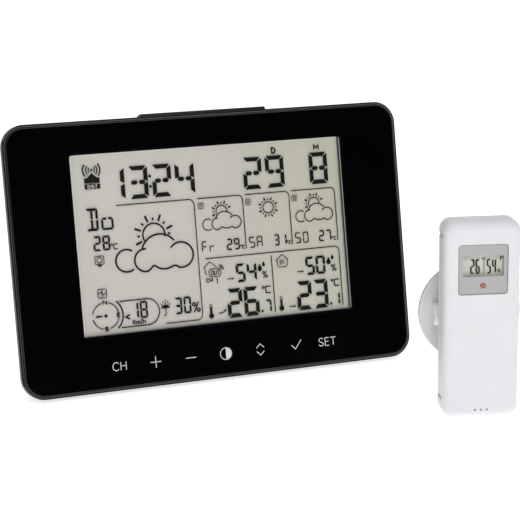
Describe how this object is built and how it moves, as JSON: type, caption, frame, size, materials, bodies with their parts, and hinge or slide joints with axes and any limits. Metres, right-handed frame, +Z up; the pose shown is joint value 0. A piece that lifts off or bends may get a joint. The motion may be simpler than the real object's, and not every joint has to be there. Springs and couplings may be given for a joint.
{
  "type": "home weather station",
  "caption": "Home weather station: leaning table console with a large display, touch keys, snooze bar and fold-out stand, plus an outdoor transmitter with a tilting wall bracket.",
  "frame": {"origin": "centre of the bounding box of both units, on the table", "axes": "+X along the console's width towards the transmitter, +Y from the fronts to the backs, +Z up"},
  "size_m": [0.2348, 0.1766, 0.1395],
  "materials": {
    "frame_black": "satin",
    "lens_black": "high gloss",
    "housing_black": "fine texture",
    "bar_charcoal": "fine ribs",
    "display_glass": "gloss",
    "diffuser": "satin",
    "white_holder": "satin",
    "rubber_black": "matt",
    "board_green": "satin",
    "flex_amber": "satin",
    "ferrite": "matt",
    "copper_wire": "satin",
    "component_dark": "satin",
    "sensor_white": "satin",
    "steel": "satin",
    "cell_jacket": "satin",
    "transmitter_white": "satin",
    "display_grey": "satin",
    "window_clear": "gloss",
    "led_red": "gloss"
  },
  "bodies": {
    "console": {"front_frame": "frame_black", "front_lens": "lens_black", "lcd_glass": "display_glass", "lcd_reflector": "diffuser", "zebra_connector": "rubber_black", "backlight_led": "sensor_white", "lcd_holder": "white_holder", "main_board": "board_green", "touch_board": "board_green", "touch_ribbon": "flex_amber", "antenna_ferrite": "ferrite", "antenna_coil": "copper_wire", "rf_module": "component_dark", "buzzer": "component_dark", "room_sensor": "sensor_white", "snooze_switch": "component_dark", "rear_housing": "housing_black", "battery_1": "cell_jacket", "battery_2": "cell_jacket", "battery_3": "cell_jacket", "contact_left": "steel", "contact_right": "steel", "case_screw_1": "steel", "case_screw_2": "steel", "case_screw_3": "steel", "case_screw_4": "steel", "foot_left": "rubber_black", "foot_right": "rubber_black"},
    "snooze": {"snooze_bar": "bar_charcoal"},
    "stand_leg": {"stand": "housing_black", "stand_pad_left": "rubber_black", "stand_pad_right": "rubber_black"},
    "cell_door": {"battery_door": "housing_black"},
    "transmitter": {"tx_front_shell": "transmitter_white", "tx_display_frame": "display_grey", "tx_window": "window_clear", "tx_lcd": "display_glass", "tx_led": "led_red", "tx_board": "board_green", "tx_sensor": "sensor_white", "tx_inner_frame": "transmitter_white", "tx_battery_1": "cell_jacket", "tx_battery_2": "cell_jacket", "tx_contact_bottom": "steel", "tx_contact_top": "steel", "tx_screw_1": "steel", "tx_screw_2": "steel"},
    "tx_back": {"tx_rear_cover": "transmitter_white", "bracket_arm": "transmitter_white"},
    "wall_disc": {"bracket_pin": "steel", "bracket_disc": "transmitter_white"},
    "channel_knob": {"tx_channel_slider": "component_dark"},
    "send_button": {"tx_button": "component_dark"}
  },
  "joints": [
    {"name": "snooze_press", "type": "slide", "parent": "console", "child": "snooze", "axis": [0, -0.1812, -0.9834], "range_m": [0, 0.0012], "stiffness_N_per_m": 500, "springref_m": -0.0016},
    {"name": "stand_fold", "type": "hinge", "parent": "console", "child": "stand_leg", "pos_m": [-0.01036, 0.04673, 0.01759], "axis": [1, 0, 0], "range_deg": [0, 98.4]},
    {"name": "battery_door_hinge", "type": "hinge", "parent": "console", "child": "cell_door", "pos_m": [0.04464, 0.0489, 0.01643], "axis": [-1, 0, 0], "range_deg": [0, 85]},
    {"name": "tx_lift", "type": "slide", "parent": "console", "child": "transmitter", "axis": [0, 0, 1], "range_m": [0, 0.16]},
    {"name": "tx_cover_pull", "type": "slide", "parent": "transmitter", "child": "tx_back", "axis": [0.2588, 0.9659, 0], "range_m": [0, 0.03]},
    {"name": "bracket_tilt", "type": "hinge", "parent": "tx_back", "child": "wall_disc", "pos_m": [0.09115, -0.06129, 0.0463], "axis": [0.9659, -0.2588, 0], "range_deg": [-20, 20]},
    {"name": "channel_slide", "type": "slide", "parent": "transmitter", "child": "channel_knob", "axis": [0.9659, -0.2588, 0], "range_m": [0, 0.004]},
    {"name": "send_press", "type": "slide", "parent": "transmitter", "child": "send_button", "axis": [-0.2588, -0.9659, 0], "range_m": [0, 0.0005], "stiffness_N_per_m": 800, "springref_m": -0.001}
  ]
}
